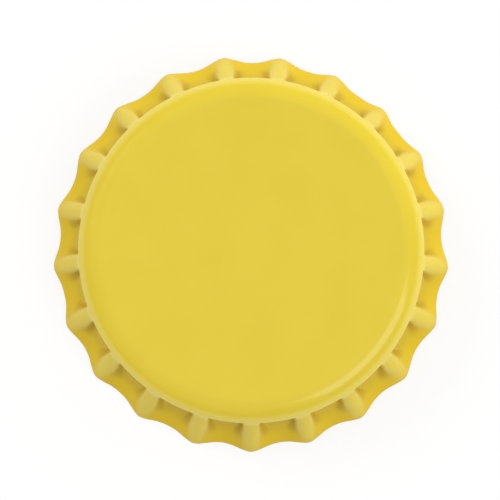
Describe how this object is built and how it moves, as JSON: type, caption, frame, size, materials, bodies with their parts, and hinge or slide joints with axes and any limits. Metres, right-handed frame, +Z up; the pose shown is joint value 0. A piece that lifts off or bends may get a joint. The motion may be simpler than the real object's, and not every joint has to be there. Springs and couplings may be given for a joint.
{
  "type": "bottle cap",
  "caption": "Round pressed-metal bottle cap with a flat top, a rounded shoulder, a flared fluted skirt and a moulded sealing liner inside.",
  "frame": {"origin": "centre of the skirt's rim, in the plane that the cap stands on", "axes": "+Z up along the cap's axis, out of the flat top; one ridge of the skirt points to -Y"},
  "size_m": [0.032, 0.0319, 0.006],
  "materials": {
    "lacquered_tinplate": "yellow gloss lacquer on thin tinplate",
    "liner_compound": "soft satin moulded compound"
  },
  "bodies": {
    "root": {"crown_shell": "lacquered_tinplate", "sealing_liner": "liner_compound"}
  },
  "joints": []
}
